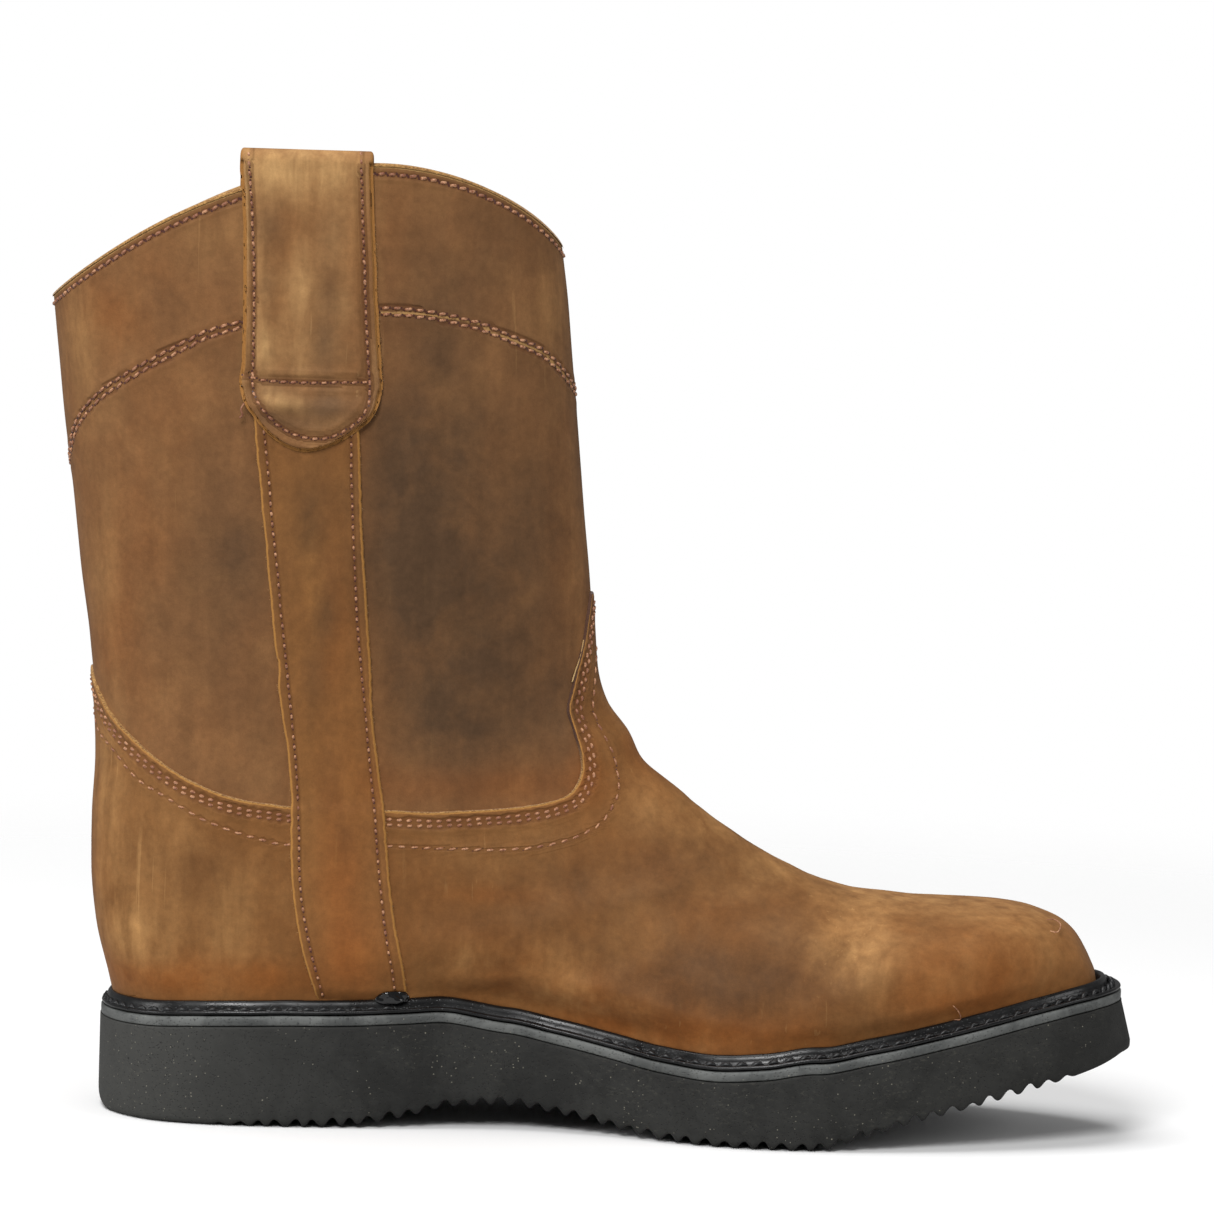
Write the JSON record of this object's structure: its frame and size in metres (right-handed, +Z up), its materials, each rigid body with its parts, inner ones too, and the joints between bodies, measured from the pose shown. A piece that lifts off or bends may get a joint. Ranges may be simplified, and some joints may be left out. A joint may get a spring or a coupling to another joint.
{
  "type": "work boot",
  "caption": "Left pull-on work boot: tall leather shaft with side strips and pull tabs, round toe, stitched storm welt and a thick rubber wedge sole with ripple tread.",
  "frame": {"origin": "middle of the boot's bounding box, on the floor that heel and forefoot stand on", "axes": "+X towards the toe, +Y towards the little-toe side, +Z up"},
  "size_m": [0.3268, 0.1054, 0.2866],
  "materials": {
    "outsole_rubber": "matt charcoal with fine pores",
    "midsole_rubber": "mid grey, satin",
    "welt_rubber": "black, glossy",
    "insole_lining": "tan, matt",
    "upper_leather": "oiled brown, mottled, fine nap",
    "strap_leather": "oiled brown, mottled, fine nap"
  },
  "bodies": {
    "root": {"outsole": "outsole_rubber", "midsole": "midsole_rubber", "welt": "welt_rubber", "insole": "insole_lining", "upper": "upper_leather", "side_strap_medial": "strap_leather", "side_strap_lateral": "strap_leather", "pull_loop_medial": "strap_leather", "pull_loop_lateral": "strap_leather"}
  },
  "joints": []
}
